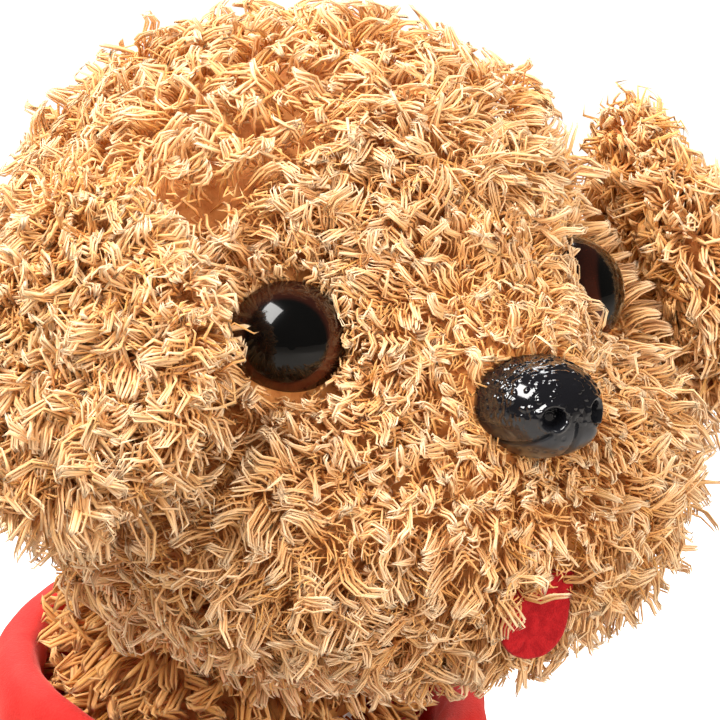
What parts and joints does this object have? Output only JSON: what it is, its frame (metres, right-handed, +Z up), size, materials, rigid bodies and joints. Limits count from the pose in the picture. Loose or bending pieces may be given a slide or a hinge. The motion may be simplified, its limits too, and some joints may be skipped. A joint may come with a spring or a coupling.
{
  "type": "plush dog",
  "caption": "Sitting plush toy poodle with curly tan pile, glossy eyes and nose, felt tongue and red velour coat; head, ears, legs and tail move.",
  "frame": {"origin": "on the ground, under the seat panel, in the plane of symmetry", "axes": "+Z up, -Y the way the dog faces, -X its right side"},
  "size_m": [0.139, 0.1732, 0.212],
  "materials": {
    "curly_pile": "curly knitted pile, tan",
    "ear_lining": "short brushed pile, tan",
    "fibre_filling": "white polyester fibre",
    "cotton_bag": "plain cotton",
    "base_fabric": "short tan fabric",
    "felt_red": "red felt",
    "velour_red": "short red velour",
    "piping_navy": "navy twill piping",
    "fastener_tape": "hook-and-loop tape",
    "eye_plastic": "clear glossy dome over brown and black",
    "nose_plastic": "glossy black, moulded pebble grain",
    "washer_plastic": "natural plastic"
  },
  "bodies": {
    "torso": {"torso_pile": "curly_pile", "torso_filling": "fibre_filling", "pellet_bag": "cotton_bag", "base_panel": "base_fabric", "coat_body": "velour_red", "coat_collar": "velour_red", "collar_piping": "piping_navy", "hem_piping": "piping_navy", "coat_fastener": "fastener_tape"},
    "neck": {"neck_pile": "curly_pile", "neck_filling": "fibre_filling"},
    "head": {"head_pile": "curly_pile", "muzzle_pile": "curly_pile", "head_filling": "fibre_filling", "muzzle_filling": "fibre_filling", "eye_right": "eye_plastic", "eye_left": "eye_plastic", "eye_washers": "washer_plastic", "nose": "nose_plastic", "nose_washer": "washer_plastic"},
    "tongue": {"tongue": "felt_red"},
    "ear_right": {"ear_right_pile": "curly_pile", "ear_right_lining": "ear_lining"},
    "foreleg_right": {"foreleg_right_pile": "curly_pile", "foreleg_right_filling": "fibre_filling", "sleeve_right": "velour_red"},
    "hindleg_right": {"hindleg_right_pile": "curly_pile", "hindleg_right_filling": "fibre_filling"},
    "ear_left": {"ear_left_pile": "curly_pile", "ear_left_lining": "ear_lining"},
    "foreleg_left": {"foreleg_left_pile": "curly_pile", "foreleg_left_filling": "fibre_filling", "sleeve_left": "velour_red"},
    "hindleg_left": {"hindleg_left_pile": "curly_pile", "hindleg_left_filling": "fibre_filling"},
    "tail": {"tail_pile": "curly_pile", "tail_filling": "fibre_filling"}
  },
  "joints": [
    {"name": "neck_turn", "type": "hinge", "parent": "torso", "child": "neck", "pos_m": [0, -0.007, 0.112], "axis": [0, 0, 1], "range_deg": [-35, 35]},
    {"name": "head_nod", "type": "hinge", "parent": "neck", "child": "head", "pos_m": [0, -0.012, 0.134], "axis": [-1, 0, 0], "range_deg": [-6, 16]},
    {"name": "tongue_flap", "type": "hinge", "parent": "head", "child": "tongue", "pos_m": [0, -0.0726, 0.146], "axis": [-1, 0, 0], "range_deg": [0, 60]},
    {"name": "ear_right_flop", "type": "hinge", "parent": "head", "child": "ear_right", "pos_m": [-0.03947, -0.03836, 0.1945], "axis": [-0.342, 0.9397, 0], "range_deg": [0, 80]},
    {"name": "ear_left_flop", "type": "hinge", "parent": "head", "child": "ear_left", "pos_m": [0.03947, -0.03836, 0.1945], "axis": [-0.342, -0.9397, 0], "range_deg": [0, 80]},
    {"name": "foreleg_right_swing", "type": "hinge", "parent": "torso", "child": "foreleg_right", "pos_m": [-0.03, -0.041, 0.082], "axis": [-1, 0, 0], "range_deg": [-6, 75]},
    {"name": "foreleg_left_swing", "type": "hinge", "parent": "torso", "child": "foreleg_left", "pos_m": [0.03, -0.041, 0.082], "axis": [-1, 0, 0], "range_deg": [-6, 75]},
    {"name": "hindleg_right_swing", "type": "hinge", "parent": "torso", "child": "hindleg_right", "pos_m": [-0.0515, 0.014, 0.032], "axis": [-1, 0, 0], "range_deg": [-10, 45]},
    {"name": "hindleg_left_swing", "type": "hinge", "parent": "torso", "child": "hindleg_left", "pos_m": [0.0515, 0.014, 0.032], "axis": [-1, 0, 0], "range_deg": [-10, 45]},
    {"name": "tail_wag", "type": "hinge", "parent": "torso", "child": "tail", "pos_m": [0, 0.064, 0.032], "axis": [0, 0, 1], "range_deg": [-40, 40]}
  ]
}
